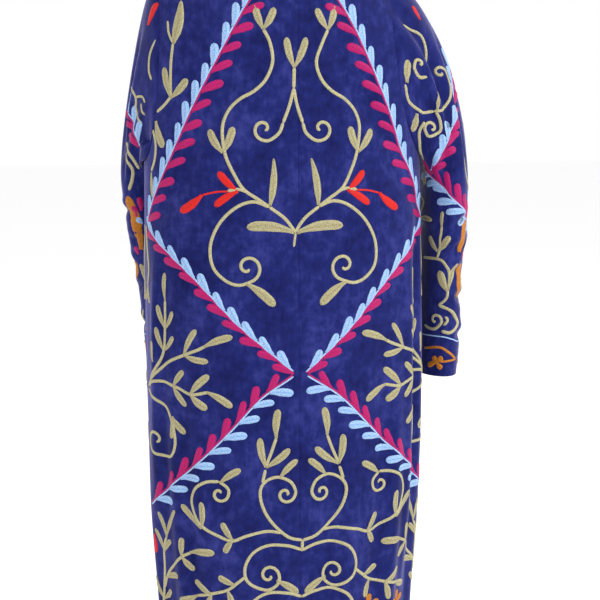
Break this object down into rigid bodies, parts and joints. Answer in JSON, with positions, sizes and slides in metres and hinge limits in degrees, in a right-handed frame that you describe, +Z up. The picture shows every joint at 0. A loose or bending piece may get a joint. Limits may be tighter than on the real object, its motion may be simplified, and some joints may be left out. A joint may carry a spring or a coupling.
{
  "type": "uzbek chapan robe",
  "caption": "Long embroidered velvet robe, worn open at the front, with hanging sleeves, open cuffs, armholes, neck and hem round an empty hollow",
  "frame": {"origin": "middle of the shoulder line, where the wearer's shoulders hold the robe", "axes": "+Z up, +Y towards the robe's back, +X towards the wearer's left arm"},
  "size_m": [0.5707, 0.3851, 1.1952],
  "materials": {
    "velvet": "soft pile",
    "gold_thread": "chain stitch",
    "pink_thread": "chain stitch",
    "blue_thread": "chain stitch",
    "red_thread": "chain stitch",
    "orange_thread": "chain stitch"
  },
  "bodies": {
    "root": {"back_left": "velvet", "back_right": "velvet", "front_left": "velvet", "front_right": "velvet", "sleeve_left": "velvet", "sleeve_right": "velvet", "neckband": "velvet"}
  },
  "joints": []
}
